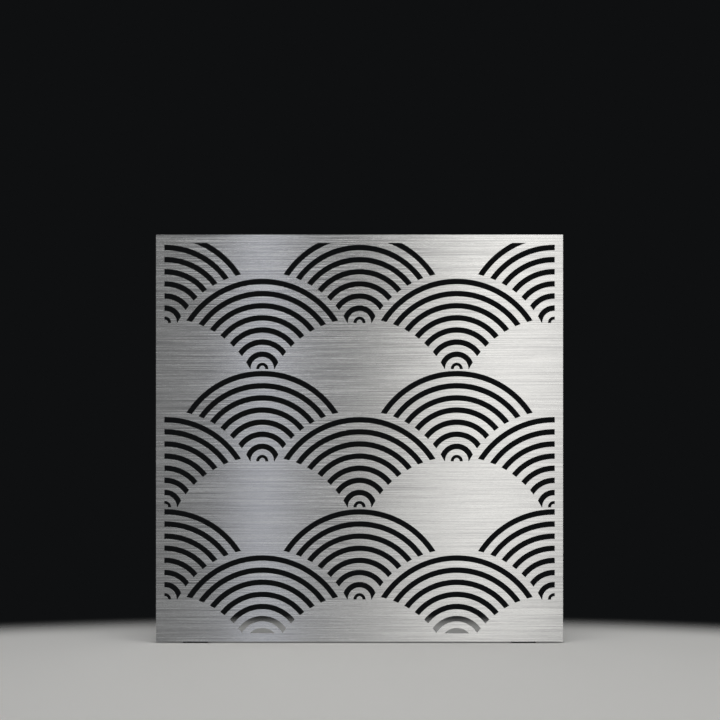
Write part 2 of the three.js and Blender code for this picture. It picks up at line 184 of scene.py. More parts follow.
def pierced_sheet_tree():
    """The sheet's geometry, drawn flat in X and Y and then stood up to face the viewer."""
    tree = bpy.data.node_groups.new("Pierced sheet", "GeometryNodeTree")
    tree.interface.new_socket("Geometry", in_out="OUTPUT", socket_type="NodeSocketGeometry")
    names = ["Sheet width", "Sheet height", "Sheet thickness", *SCALES]
    for name in names:
        tree.interface.new_socket(name, in_out="INPUT", socket_type="NodeSocketFloat")
    for name in ("Face material", "Cut edge material"):
        tree.interface.new_socket(name, in_out="INPUT", socket_type="NodeSocketMaterial")
    sizes = add_node(tree, "NodeGroupInput").outputs

    def calc(operation, first, second=0.0):
        return add_node(
            tree, "ShaderNodeMath", {0: first, 1: second}, operation=operation
        ).outputs[0]

    def vector(x=0.0, y=0.0, z=0.0):
        return add_node(tree, "ShaderNodeCombineXYZ", {0: x, 1: y, 2: z}).outputs[0]

    def slab(width, height, thickness, middle):
        cube = add_node(tree, "GeometryNodeMeshCube", {"Size": vector(width, height, thickness)})
        return add_node(
            tree,
            "GeometryNodeTransform",
            {"Geometry": cube.outputs[0], "Translation": middle},
        ).outputs[0]

    def combine(operation, first, others):
        cut = add_node(
            tree, "GeometryNodeMeshBoolean", operation=operation, solver="MANIFOLD"
        )
        if operation == "DIFFERENCE":
            tree.links.new(first, cut.inputs["Mesh 1"])
        else:
            others = [first, *others]
        for other in others:
            tree.links.new(other, cut.inputs["Mesh 2"])
        return cut.outputs[0]

    index = add_node(tree, "GeometryNodeInputIndex").outputs[0]

    # Rings of one scale, from the widest inward, and the small arch at its middle.
    widest = calc("SUBTRACT", sizes["Widest ring radius"], calc("DIVIDE", sizes["Slot width"], 2.0))
    radius = calc("SUBTRACT", widest, calc("MULTIPLY", index, sizes["Ring pitch"]))
    rings = ring_cutters(tree, radius, sizes["Slot width"], RINGS)
    arch_middle = calc(
        "SUBTRACT", sizes["Arch radius"], calc("DIVIDE", sizes["Arch slot width"], 2.0)
    )
    arch = ring_cutters(tree, arch_middle, sizes["Arch slot width"], 1)

    # The two neighbours beside and below cover the ends with a land of metal.
    land = calc("SUBTRACT", sizes["Ring pitch"], sizes["Slot width"])
    cover_radius = calc("ADD", sizes["Widest ring radius"], land)
    cover = add_node(
        tree,
        "GeometryNodeMeshCylinder",
        {"Vertices": 2 * RING_SIDES, "Radius": cover_radius, "Depth": TRIMMER_DEPTH},
    ).outputs[0]
    down = calc("MULTIPLY", sizes["Row pitch"], -1.0)
    covers = [
        add_node(
            tree,
            "GeometryNodeTransform",
            {
                "Geometry": cover,
                "Translation": vector(calc("MULTIPLY", sizes["Column pitch"], side), down),
            },
        ).outputs[0]
        for side in (-1.0, 1.0)
    ]
    skirt_middle = calc("SUBTRACT", -SKIRT_HEIGHT / 2, sizes["Spring drop"])
    skirt = slab(SKIRT_WIDTH, SKIRT_HEIGHT, TRIMMER_DEPTH, vector(0.0, skirt_middle))
    one_scale = combine("DIFFERENCE", rings, [*covers, skirt])
    one_arch = combine("DIFFERENCE", arch, [skirt])
    join = add_node(tree, "GeometryNodeJoinGeometry")
    tree.links.new(one_scale, join.inputs[0])
    tree.links.new(one_arch, join.inputs[0])

    # Centres in staggered rows. One row in three is left uncut.
    row = calc("FLOOR", calc("DIVIDE", index, float(COLUMNS)))
    column = calc("SUBTRACT", calc("MODULO", index, float(COLUMNS)), (COLUMNS - 1) / 2)
    stagger = calc("MODULO", row, 2.0)
    steps = calc("ADD", calc("MULTIPLY", column, 2.0), stagger)
    across = calc("MULTIPLY", steps, sizes["Column pitch"])
    half_height = calc("DIVIDE", sizes["Sheet height"], 2.0)
    first_row = calc("SUBTRACT", half_height, sizes["Top row drop"])
    up = calc("SUBTRACT", first_row, calc("MULTIPLY", row, sizes["Row pitch"]))
    blank = calc("COMPARE", calc("MODULO", row, float(BLANK_ROW_EVERY)), BLANK_ROW_EVERY - 1.0)
    centres = add_node(
        tree,
        "GeometryNodePoints",
        {"Count": ROWS * COLUMNS, "Position": vector(across, up)},
    ).outputs[0]
    cut_centres = add_node(
        tree,
        "GeometryNodeDeleteGeometry",
        {"Geometry": centres, "Selection": blank},
        domain="POINT",
    ).outputs[0]
    scales = add_node(
        tree,
        "GeometryNodeInstanceOnPoints",
        {"Points": cut_centres, "Instance": join.outputs[0]},
    )
    real = add_node(tree, "GeometryNodeRealizeInstances", {"Geometry": scales.outputs[0]})

    # The slots stop at the border, and come out of the blank.
    margins = calc("MULTIPLY", sizes["Border"], 2.0)
    window = slab(
        calc("SUBTRACT", sizes["Sheet width"], margins),
        calc("SUBTRACT", sizes["Sheet height"], margins),
        TRIMMER_DEPTH,
        vector(),
    )
    slots = combine("INTERSECT", real.outputs[0], [window])
    blank_sheet = slab(
        sizes["Sheet width"], sizes["Sheet height"], sizes["Sheet thickness"], vector()
    )
    solid = combine("DIFFERENCE", blank_sheet, [slots])
    pierced = add_node(tree, "GeometryNodeTriangulate", {"Mesh": solid}).outputs[0]

    # Faces keep the brushed finish, and walls get the finish that the laser leaves.
    normal = add_node(tree, "GeometryNodeInputNormal").outputs[0]
    facing = add_node(tree, "ShaderNodeSeparateXYZ", {0: normal}).outputs[2]
    wall = calc("LESS_THAN", calc("ABSOLUTE", facing), WALL_FACING)
    faced = add_node(
        tree,
        "GeometryNodeSetMaterial",
        {"Geometry": pierced, "Material": sizes["Face material"]},
    )
    edged = add_node(
        tree,
        "GeometryNodeSetMaterial",
        {
            "Geometry": faced.outputs[0],
            "Selection": wall,
            "Material": sizes["Cut edge material"],
        },
    )
    # The map's first axis runs up the sheet, across the grain, so highlights stretch that way.
    place = add_node(tree, "GeometryNodeInputPosition").outputs[0]
    flat = add_node(tree, "ShaderNodeSeparateXYZ", {0: place})
    mapped = add_node(
        tree,
        "GeometryNodeStoreNamedAttribute",
        {
            "Geometry": edged.outputs[0],
            "Name": "grain",
            "Value": vector(flat.outputs[1], calc("MULTIPLY", flat.outputs[0], -1.0)),
        },
        data_type="FLOAT2",
        domain="CORNER",
    )
    stood = add_node(
        tree,
        "GeometryNodeTransform",
        {"Geometry": mapped.outputs[0], "Rotation": (QUARTER_TURN, 0, 0)},
    )
    add_node(tree, "NodeGroupOutput", {"Geometry": stood.outputs[0]})
    return tree


def bake_tree(name, tree, values, start=None):
    """Runs a node tree once and keeps its result as a plain mesh."""
    carrier = add_object(name, start or bpy.data.meshes.new(name))
    modifier = carrier.modifiers.new(tree.name, "NODES")
    modifier.node_group = tree
    for item in tree.interface.items_tree:
        if item.in_out == "INPUT" and item.name in values:
            modifier[item.identifier] = values[item.name]
    return keep_result(carrier)


def keep_result(piece):
    """Replaces a piece's mesh by what its modifiers make of it, and removes them."""
    seen = piece.evaluated_get(bpy.context.evaluated_depsgraph_get())
    mesh = bpy.data.meshes.new_from_object(seen)
    piece.modifiers.clear()
    piece.data = mesh
    mesh.name = piece.name
    return piece


def break_edges(piece, width, segments=2, angle=40):
    """Takes the sharpness off every edge that turns by more than the angle."""
    shade_by_angle(piece.data)
    bevel = piece.modifiers.new("Broken edges", "BEVEL")
    bevel.width = width
    bevel.segments = segments
    bevel.limit_method = "ANGLE"
    bevel.angle_limit = math.radians(angle)
    bevel.harden_normals = True
    return keep_result(piece)


def keep_materials(piece):
    """Drops the empty material slot that a node tree leaves in front."""
    kept = [m for m in piece.data.materials if m]
    shift = len(piece.data.materials) - len(kept)
    if shift:
        numbers = [max(0, face.material_index - shift) for face in piece.data.polygons]
        piece.data.materials.clear()
        for material in kept:
            piece.data.materials.append(material)
        for face, number in zip(piece.data.polygons, numbers):
            face.material_index = number


def move_mesh(piece, matrix):
    piece.data.transform(matrix)
    return piece


def make_sheet(face_material, edge_material):
    values = dict(SCALES)
    values["Sheet width"] = SHEET_WIDTH
    values["Sheet height"] = SHEET_HEIGHT
    values["Sheet thickness"] = SHEET_THICKNESS
    values["Face material"] = face_material
    values["Cut edge material"] = edge_material
    sheet = bake_tree("pierced_sheet", pierced_sheet_tree(), values)
    keep_materials(sheet)
    break_edges(sheet, SHEET_BREAK, segments=1)
    middle = (0, (SHEET_FRONT + SHEET_BACK) / 2, (SHEET_BOTTOM + SHEET_TOP) / 2)
    return move_mesh(sheet, Matrix.Translation(middle))


# ------------------------------------------------------------------ flat and folded plate


def rounded_corners(corners, steps=8):
    """A closed outline through [x, y, radius] corners, as a list of points."""
    points = []
    count = len(corners)
    for i, (x, y, radius) in enumerate(corners):
        corner = Vector((x, y))
        if radius == 0:
            points.append(corner)
            continue
        before = (Vector(corners[i - 1][:2]) - corner).normalized()
        after = (Vector(corners[(i + 1) % count][:2]) - corner).normalized()
        centre = corner + (before + after) * radius
        start = corner + before * radius - centre
        sign = 1 if before.cross(after) < 0 else -1
        for step in range(steps + 1):
            turn = QUARTER_TURN * step / steps
            points.append(centre + Matrix.Rotation(sign * turn, 2) @ start)
    return points


def circle_points(x, y, radius, sides=48):
    angles = [2 * math.pi * i / sides for i in range(sides)]
    return [Vector((x + radius * math.cos(a), y + radius * math.sin(a))) for a in angles]


def cut_blank(name, outlines, thickness):
    """A flat plate in X and Y with its holes, from z = 0 up to its thickness.

    The rolling grain runs along X, and its map is laid down while the plate is flat.
    """
    shape = bmesh.new()
    for points in outlines:
        ring = [shape.verts.new((p.x, p.y, 0)) for p in points]
        for i, vertex in enumerate(ring):
            shape.edges.new((ring[i - 1], vertex))
    filled = bmesh.ops.triangle_fill(shape, edges=shape.edges[:], use_beauty=True)
    faces = [f for f in filled["geom"] if isinstance(f, bmesh.types.BMFace)]
    raised = bmesh.ops.extrude_face_region(shape, geom=faces)
    tops = [v for v in raised["geom"] if isinstance(v, bmesh.types.BMVert)]
    bmesh.ops.translate(shape, verts=tops, vec=(0, 0, thickness))
    bmesh.ops.recalc_face_normals(shape, faces=shape.faces[:])
    grain = shape.loops.layers.uv.new("grain")
    for face in shape.faces:
        for loop in face.loops:
            loop[grain].uv = (loop.vert.co.y, -loop.vert.co.x)
    mesh = bpy.data.meshes.new(name)
    shape.to_mesh(mesh)
    shape.free()
    return add_object(name, mesh)


def fold_blank(piece, upright, outer_radius, thickness, cuts):
    """Folds a blank by a right angle about a line along X.

    The blank's y runs from the free edge of the upright leg, through the bend, and on
    along the lower leg. The outer surface ends up as the planes y = 0 and z = 0.
    """
    straight = upright - outer_radius
    arc = (outer_radius - thickness / 2) * QUARTER_TURN
    shape = bmesh.new()
    shape.from_mesh(piece.data)
    for i in range(cuts + 1):
        bmesh.ops.bisect_plane(
            shape,
            geom=shape.verts[:] + shape.edges[:] + shape.faces[:],
            plane_co=(0, straight + arc * i / cuts, 0),
            plane_no=(0, 1, 0),
        )
    for vertex in shape.verts:
        along, depth = vertex.co.y, vertex.co.z
        turn = min(max((along - straight) / arc, 0), 1) * QUARTER_TURN
        reach = outer_radius - depth
        vertex.co.y = outer_radius - reach * math.cos(turn) + max(0, along - straight - arc)
        vertex.co.z = outer_radius - reach * math.sin(turn) + max(0, straight - along)
    bmesh.ops.recalc_face_normals(shape, faces=shape.faces[:])
    shape.to_mesh(piece.data)
    shape.free()


# ------------------------------------------------------------------ the frame

FRAME_INSET = 1 * MM
ANGLE_THICKNESS = 2 * MM
FACE_LEG = 18 * MM
RETURN_LEG = 25 * MM
ANGLE_OUTER_RADIUS = 4 * MM
ANGLE_BEND_CUTS = 8
MITRE_GAP = 0.3 * MM
FRAME_WIDTH = SHEET_WIDTH - 2 * FRAME_INSET
FRAME_HEIGHT = SHEET_HEIGHT - 2 * FRAME_INSET
FRAME_MIDDLE = (SHEET_BOTTOM + SHEET_TOP) / 2
STUD_LINE = (ANGLE_OUTER_RADIUS + FACE_LEG) / 2
CORNER_STUD = 39 * MM
STUDS_PER_SIDE = 4
PLATE_THICKNESS = 2 * MM
PLATE_MARGIN = 0.5 * MM
PLATE_ARM = 52 * MM
PLATE_ROUND = 3 * MM

FOOT_INSET = 96 * MM  # from the sheet's side edge to the middle of a foot
FOOT_CENTRE = SHEET_WIDTH / 2 - FOOT_INSET
FOOT_WIDTH = 80 * MM
FOOT_THICKNESS = 10 * MM
FOOT_OUTER_RADIUS = 20 * MM
FOOT_BEND_CUTS = 16
FOOT_HEIGHT = 73 * MM
FOOT_REACH = 298 * MM
FOOT_SHOULDER = 8 * MM
FOOT_ROUND = 18 * MM
FOOT_UNDERSIDE = SHEET_BOTTOM + FRAME_INSET + ANGLE_THICKNESS
FLOOR_HOLE_RADIUS = 4.5 * MM
FLOOR_HOLE_SETBACK = 24 * MM
NOTCH_CLEARANCE = 0.5 * MM
PAD_ROUND = 5 * MM
PAD_HOLE_RADIUS = 6 * MM

SAME_PLACE = 1e-6  # two lengths closer than this are one


def folded_angle(name, length, notches):
    """A mitred angle along X. Its face leg is on y = 0 and its outer edge is z = 0."""
    half = length / 2
    straight = FACE_LEG - ANGLE_OUTER_RADIUS
    arc = (ANGLE_OUTER_RADIUS - ANGLE_THICKNESS / 2) * QUARTER_TURN
    far = straight + arc + RETURN_LEG - ANGLE_OUTER_RADIUS
    edge = [(-half, 0, 0)]
    for x in sorted(notches):
        reach = FOOT_WIDTH / 2 + NOTCH_CLEARANCE
        edge += [(x - reach, 0, 0), (x - reach, straight, 0)]
        edge += [(x + reach, straight, 0), (x + reach, 0, 0)]
    outline = rounded_corners(edge + [(half, 0, 0), (half, far, 0), (-half, far, 0)])
    bar = cut_blank(name, [outline], ANGLE_THICKNESS)
    fold_blank(bar, FACE_LEG, ANGLE_OUTER_RADIUS, ANGLE_THICKNESS, ANGLE_BEND_CUTS)
    for vertex in bar.data.vertices:
        if abs(vertex.co.x) > half - SAME_PLACE:
            vertex.co.x = math.copysign(half - MITRE_GAP - vertex.co.z, vertex.co.x)
    return break_edges(bar, ANGLE_BREAK)


def turned_about_middle(turn, outward):
    """From the bottom rail's own place to another side of the frame."""
    return (
        Matrix.Translation((0, SHEET_BACK, FRAME_MIDDLE))
        @ Matrix.Rotation(turn, 4, "Y")
        @ Matrix.Translation((0, 0, -outward))
    )


def make_frame(material):
    """Every side is made where the bottom one is, then turned to its own place.

    With its name go its turn, its length, the frame's size across from it, and its notches.
    """
    sides = {
        "bottom_rail": (0, FRAME_WIDTH, FRAME_HEIGHT, (-FOOT_CENTRE, FOOT_CENTRE)),
        "left_stile": (QUARTER_TURN, FRAME_HEIGHT, FRAME_WIDTH, ()),
        "top_rail": (2 * QUARTER_TURN, FRAME_WIDTH, FRAME_HEIGHT, ()),
        "right_stile": (-QUARTER_TURN, FRAME_HEIGHT, FRAME_WIDTH, ()),
    }
    for name, (turn, length, span, notches) in sides.items():
        bar = folded_angle(name, length, notches)
        move_mesh(bar, turned_about_middle(turn, span / 2))
        finish_piece(bar, material, "mill_stainless", f"frame_{name}")


def make_corner_plates(material):
    """Each plate is turned from the bottom left one, as the sides are."""
    outer = ANGLE_OUTER_RADIUS + PLATE_MARGIN
    inner = FACE_LEG - PLATE_MARGIN
    outline = rounded_corners(
        [
            (outer, outer, PLATE_ROUND),
            (PLATE_ARM, outer, PLATE_ROUND),
            (PLATE_ARM, inner, PLATE_ROUND),
            (inner, inner, PLATE_ROUND),
            (inner, PLATE_ARM, PLATE_ROUND),
            (outer, PLATE_ARM, PLATE_ROUND),
        ]
    )
    corners = {
        "bottom_left": (0, FRAME_WIDTH, FRAME_HEIGHT),
        "top_left": (QUARTER_TURN, FRAME_HEIGHT, FRAME_WIDTH),
        "top_right": (2 * QUARTER_TURN, FRAME_WIDTH, FRAME_HEIGHT),
        "bottom_right": (-QUARTER_TURN, FRAME_HEIGHT, FRAME_WIDTH),
    }
    stand = Matrix.Rotation(QUARTER_TURN, 4, "X")
    back = Matrix.Translation((0, ANGLE_THICKNESS + PLATE_THICKNESS, 0))
    for place, (turn, length, span) in corners.items():
        plate = cut_blank(f"gusset_{place}", [outline], PLATE_THICKNESS)
        to_corner = Matrix.Translation((-length / 2, 0, 0))
        move_mesh(plate, turned_about_middle(turn, span / 2) @ to_corner @ back @ stand)
        break_edges(plate, CORNER_PLATE_BREAK)
        finish_piece(plate, material, "mill_stainless", f"corner_plate_{place}")


# ------------------------------------------------------------------ the feet and pads


def make_pad(side, middle, place, bore, rubber):
    """A rubber pad in the space of its node, with a hole through it where it has a bore."""
    low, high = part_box(f"{place}_pad_{side}")
    corners = [
        (low[0], low[1], PAD_ROUND),
        (high[0], low[1], PAD_ROUND),
        (high[0], high[1], PAD_ROUND),
        (low[0], high[1], PAD_ROUND),
    ]
    outlines = [rounded_corners(corners)]
    if bore:
        outlines.append(circle_points(middle, (low[1] + high[1]) / 2, bore))
    pad = cut_blank(f"{place}_rubber_{side}", outlines, high[2] - low[2])
    move_mesh(pad, Matrix.Translation((0, 0, low[2])))
    break_edges(pad, PAD_BREAK)
    finish_piece(pad, rubber, "rubber", f"{place}_pad_{side}")


def make_feet(plate_material, rubber):
    straight = FOOT_HEIGHT - FOOT_OUTER_RADIUS
    arc = (FOOT_OUTER_RADIUS - FOOT_THICKNESS / 2) * QUARTER_TURN
    far = straight + arc + FOOT_REACH - FOOT_OUTER_RADIUS
    half = FOOT_WIDTH / 2
    outline = rounded_corners(
        [
            (-half, 0, FOOT_SHOULDER),
            (half, 0, FOOT_SHOULDER),
            (half, far, FOOT_ROUND),
            (-half, far, FOOT_ROUND),
        ]
    )
    hole = circle_points(0, far - FLOOR_HOLE_SETBACK, FLOOR_HOLE_RADIUS)
    for side, middle in (("left", -FOOT_CENTRE), ("right", FOOT_CENTRE)):
        foot = cut_blank(f"bent_foot_{side}", [outline, hole], FOOT_THICKNESS)
        fold_blank(foot, FOOT_HEIGHT, FOOT_OUTER_RADIUS, FOOT_THICKNESS, FOOT_BEND_CUTS)
        move_mesh(foot, Matrix.Translation((middle, SHEET_BACK, FOOT_UNDERSIDE)))
        break_edges(foot, FOOT_BREAK, segments=3)
        finish_piece(foot, plate_material, "mill_stainless", f"foot_{side}")
        make_pad(side, middle, "front", 0, rubber)
        make_pad(side, middle, "rear", PAD_HOLE_RADIUS, rubber)


# ------------------------------------------------------------------ studs and nuts

# The shank, the flange and the bore are given as radii.
M5_STUD = {
    "shank": 2.5 * MM,
    "length": 12 * MM,
    "flange": 3.25 * MM,
    "flange_height": 0.8 * MM,
    "pitch": 0.8 * MM,
    "thread_from": 5.5 * MM,
}
M5_NUT = {
    "bore": 2.62 * MM,
    "across_flats": 8 * MM,
    "flange": 5.9 * MM,
    "rim": 0.7 * MM,
    "height": 5 * MM,
}
M6_STUD = {
    "shank": 3 * MM,
    "length": 18 * MM,
    "flange": 3.75 * MM,
    "flange_height": 1 * MM,
    "pitch": 1 * MM,
    "thread_from": 11 * MM,
}
M6_NUT = {
    "bore": 3.13 * MM,
    "across_flats": 10 * MM,
    "flange": 7.1 * MM,
    "rim": 0.8 * MM,
    "height": 6 * MM,
}
NUT_SIDES = 72
NUT_SOFTNESS = 0.15 * MM  # the rounding that forming leaves on a nut's edges
NUT_FLANGE_SLOPE = 0.32
NUT_CHAMFER_SLOPE = 0.58  # about 30 degrees
NUT_CHAMFER_START = 0.97  # of the nut's half width across its flats
NUT_END_FACE = 0.94  # of the same
NUT_COUNTERSINK = 0.14  # of the bore's radius

STUD_SIDES = 32
STUD_FLANGE_RIM = 0.7  # of the flange's height
STUD_TIP = 0.3 * MM  # the thread stops at least this far from the end
STUD_TIP_TAPER = 0.1 * MM
THREAD_DEPTH = 0.61  # of the pitch, as on a metric thread
THREAD_STEPS = 8  # in one turn
THREAD_CREST = 1.6  # over 1, so that crests are cut flat
THREAD_FLANK = 3.6  # how steeply it rises to them
THREAD_END = 0.35  # the share of its depth that the thread keeps at the stud's end

FRAME_FASTENER_SEED = 11
FOOT_FASTENER_SEED = 13
FOOT_STUD_SPREAD = 24 * MM
FOOT_STUD_DROP = 14 * MM
NUT_SEAT_MARGIN = 2 * MM


def lathe(rings):
    """Joins stacked rings, each a list of as many points, into a tube left open at its ends."""
    shape = bmesh.new()
    layers = [[shape.verts.new(p) for p in ring] for ring in rings]
    count = len(layers[0])
    for low, high in zip(layers, layers[1:]):
        for i in range(count):
            j = (i + 1) % count
            shape.faces.new((low[i], low[j], high[j], high[i]))
    return shape, layers


def to_object(shape, name):
    bmesh.ops.recalc_face_normals(shape, faces=shape.faces[:])
    mesh = bpy.data.meshes.new(name)
    shape.to_mesh(mesh)
    shape.free()
    shade_by_angle(mesh)
    return add_object(name, mesh)


def around(radius, height, sides):
    """A ring about the Y axis. Radius and height may follow the angle."""
    points = []
    for i in range(sides):
        angle = 2 * math.pi * i / sides
        r = radius(angle) if callable(radius) else radius
        h = height(angle) if callable(height) else height
        points.append((r * math.cos(angle), h, r * math.sin(angle)))
    return points


def flange_nut(name, bore, across_flats, flange, rim, height):
    """A hexagon flange nut with its seat on y = 0 and its axis along Y."""
    flat = across_flats / 2
    soft = NUT_SOFTNESS
    chamfer_start = flat * NUT_CHAMFER_START
    countersink = bore * NUT_COUNTERSINK

    def hexagon(angle):
        return flat / math.cos((angle + math.pi / 6) % (math.pi / 3) - math.pi / 6)

    def flange_top(angle):
        return rim + (flange - hexagon(angle)) * NUT_FLANGE_SLOPE

    def chamfer(angle):
        return height - soft - (hexagon(angle) - chamfer_start) * NUT_CHAMFER_SLOPE

    profile = [
        (bore, 0),
        (flange - soft, 0),
        (flange, soft),
        (flange, rim - soft),
        (flange - soft, rim),
        (lambda a: hexagon(a) + soft, flange_top),
        (hexagon, lambda a: flange_top(a) + soft),
        (hexagon, chamfer),
        (chamfer_start, height - soft),
        (flat * NUT_END_FACE, height),
        (bore + countersink, height),
        (bore, height - countersink),
    ]
    shape, layers = lathe([around(r, h, NUT_SIDES) for r, h in profile])
    for i in range(NUT_SIDES):
        j = (i + 1) % NUT_SIDES
        shape.faces.new((layers[-1][i], layers[-1][j], layers[0][j], layers[0][i]))
    return to_object(shape, name)


def weld_stud(name, shank, length, flange, flange_height, pitch, thread_from):
    """A weld stud with its flange on y = 0. Its thread is cut where it can be seen."""
    depth = THREAD_DEPTH * pitch

    def threaded(height):
        fade = min(1, max(0, (length - height) / pitch))

        def radius(angle):
            phase = (height / pitch - angle / (2 * math.pi)) % 1
            crest = min(1, max(0, THREAD_CREST - abs(phase - 0.5) * THREAD_FLANK))
            return shank - depth * (1 - crest * (THREAD_END + (1 - THREAD_END) * fade))

        return radius

    rings = [
        around(flange, 0, STUD_SIDES),
        around(flange, flange_height * STUD_FLANGE_RIM, STUD_SIDES),
        around(shank, flange_height, STUD_SIDES),
        around(shank, thread_from, STUD_SIDES),
    ]
    steps = int((length - STUD_TIP - thread_from) / pitch * THREAD_STEPS)
    for i in range(1, steps + 1):
        height = thread_from + i * pitch / THREAD_STEPS
        rings.append(around(threaded(height), height, STUD_SIDES))
    rings.append(around(shank - depth - STUD_TIP_TAPER, length, STUD_SIDES))
    shape, layers = lathe(rings)
    shape.faces.new(layers[0])
    shape.faces.new(layers[-1])
    return to_object(shape, name)


def seated_fasteners_tree():
    """Sets one fastener on each seat point, each turned by chance about its own axis."""
    tree = bpy.data.node_groups.new("Seated fasteners", "GeometryNodeTree")
    tree.interface.new_socket("Geometry", in_out="OUTPUT", socket_type="NodeSocketGeometry")
    tree.interface.new_socket("Geometry", in_out="INPUT", socket_type="NodeSocketGeometry")
    tree.interface.new_socket("Fastener", in_out="INPUT", socket_type="NodeSocketObject")
    tree.interface.new_socket("Largest turn", in_out="INPUT", socket_type="NodeSocketFloat")
    tree.interface.new_socket("Seed", in_out="INPUT", socket_type="NodeSocketInt")
    tree.interface.new_socket("Material", in_out="INPUT", socket_type="NodeSocketMaterial")
    given = add_node(tree, "NodeGroupInput").outputs
    turn = add_node(
        tree,
        "FunctionNodeRandomValue",
        {"Min": 0.0, "Max": given["Largest turn"], "Seed": given["Seed"]},
        data_type="FLOAT",
    )
    # The random node shows one output for each data type, and the float is the second.
    about_axis = add_node(tree, "ShaderNodeCombineXYZ", {1: turn.outputs[1]})
    fastener = add_node(
        tree, "GeometryNodeObjectInfo", {"Object": given["Fastener"], "As Instance": True}
    )
    set_down = add_node(
        tree,
        "GeometryNodeInstanceOnPoints",
        {
            "Points": given["Geometry"],
            "Instance": fastener.outputs["Geometry"],
            "Rotation": about_axis.outputs[0],
        },
    )
    real = add_node(tree, "GeometryNodeRealizeInstances", {"Geometry": set_down.outputs[0]})
    finished = add_node(
        tree,
        "GeometryNodeSetMaterial",
        {"Geometry": real.outputs[0], "Material": given["Material"]},
    )
    add_node(tree, "NodeGroupOutput", {0: finished.outputs[0]})
    return tree


def seat_fasteners(name, tree, fastener, seats, material, seed, nodes):
    """Seats copies of a fastener as one piece, then drops the one they were made from."""
    points = bpy.data.meshes.new(name)
    points.from_pydata(seats, [], [])
    values = {
        "Fastener": fastener,
        "Largest turn": 2 * math.pi,
        "Seed": seed,
        "Material": material,
    }
    piece = bake_tree(name, tree, values, start=points)
    keep_materials(piece)
    finish_piece(piece, material, "stainless_fastener", *nodes)
    drop_object(fastener)


def seat_pairs(kind, tree, stud, nut, places, material, seed):
    """Seats a stud and its nut at each place: a name, x, z and the y of the nut's seat.

    The nuts take the seed after the studs'.
    """
    studs = [(x, SHEET_BACK, z) for _, x, z, _ in places]
    nuts = [(x, seat, z) for _, x, z, seat in places]
    stud_nodes = [f"{kind}_stud_{name}" for name, *_ in places]
    nut_nodes = [f"{kind}_nut_{name}" for name, *_ in places]
    seat_fasteners(f"{kind}_weld_studs", tree, stud, studs, material, seed, stud_nodes)
    seat_fasteners(f"{kind}_flange_nuts", tree, nut, nuts, material, seed + 1, nut_nodes)


def places_along(length):
    """Where the studs of one side of the frame sit, from its middle."""
    end = length / 2 - CORNER_STUD
    return [end * (2 * i / (STUDS_PER_SIDE - 1) - 1) for i in range(STUDS_PER_SIDE)]


def frame_fastener_places():
    side_x = FRAME_WIDTH / 2 - STUD_LINE
    side_z = FRAME_HEIGHT / 2 - STUD_LINE
    across = places_along(FRAME_WIDTH)
    upward = [FRAME_MIDDLE + place for place in places_along(FRAME_HEIGHT)]
    rows = {
        "bottom": [(x, FRAME_MIDDLE - side_z) for x in across],
        "top": [(x, FRAME_MIDDLE + side_z) for x in across],
        "left": [(-side_x, z) for z in upward],
        "right": [(side_x, z) for z in upward],
    }
    on_angle = SHEET_BACK + ANGLE_THICKNESS
    places = []
    for side, row in rows.items():
        for i, (x, z) in enumerate(row):
            on_plate = PLATE_THICKNESS if i in (0, STUDS_PER_SIDE - 1) else 0
            places.append((f"{side}_{i + 1}", x, z, on_angle + on_plate))
    return places


def foot_fastener_places():
    upper = FOOT_UNDERSIDE + FOOT_HEIGHT - FOOT_STUD_DROP
    lower = FOOT_UNDERSIDE + FOOT_OUTER_RADIUS + M6_NUT["flange"] + NUT_SEAT_MARGIN
    on_foot = [(0, lower), (-FOOT_STUD_SPREAD, upper), (FOOT_STUD_SPREAD, upper)]
    places = []
    for side, middle in (("left", -FOOT_CENTRE), ("right", FOOT_CENTRE)):
        for i, (x, z) in enumerate(on_foot):
            places.append((f"{side}_{i + 1}", middle + x, z, SHEET_BACK + FOOT_THICKNESS))
    return places


def make_fasteners(material):
    tree = seated_fasteners_tree()
    stud = weld_stud("m5_stud", **M5_STUD)
    nut = flange_nut("m5_nut", **M5_NUT)
    places = frame_fastener_places()
    seat_pairs("frame", tree, stud, nut, places, material, FRAME_FASTENER_SEED)
    stud = weld_stud("m6_stud", **M6_STUD)
    nut = flange_nut("m6_nut", **M6_NUT)
    places = foot_fastener_places()
    seat_pairs("foot", tree, stud, nut, places, material, FOOT_FASTENER_SEED)


# ------------------------------------------------------------------ materials


def start_material(name, constants):
    """A material with one Principled shader, whose plain values are set on its sockets."""
    material = bpy.data.materials.new(name)
    material.use_nodes = True
    tree = material.node_tree
    shader = tree.nodes["Principled BSDF"]
    for key, value in constants.items():
        shader.inputs[key].default_value = value
    return material, tree, shader


def object_place(tree):
    return add_node(tree, "ShaderNodeTexCoord").outputs["Object"]


def grain_map(tree, shader):
    """Stretches highlights across the grain, and gives the map that its lines follow."""
    tangent = add_node(tree, "ShaderNodeTangent", direction_type="UV_MAP", uv_map="grain")
    tree.links.new(tangent.outputs[0], shader.inputs["Tangent"])
    return add_node(tree, "ShaderNodeUVMap", uv_map="grain").outputs[0]


def stretched_noise(tree, place, size_mm, detail=2.0, roughness=0.5, shift=0.0):
    """Noise whose patches measure so many millimetres along each axis.

    A shift takes it from another stretch of the noise, so that two patterns don't line up.
    """
    mapping = add_node(
        tree,
        "ShaderNodeMapping",
        {
            "Vector": place,
            "Location": (shift, shift * 0.7, shift * 1.3),
            "Scale": tuple(1000 / size for size in size_mm),
        },
    )
    return add_node(
        tree,
        "ShaderNodeTexNoise",
        {"Vector": mapping.outputs[0], "Scale": 1.0, "Detail": detail, "Roughness": roughness},
    ).outputs[0]


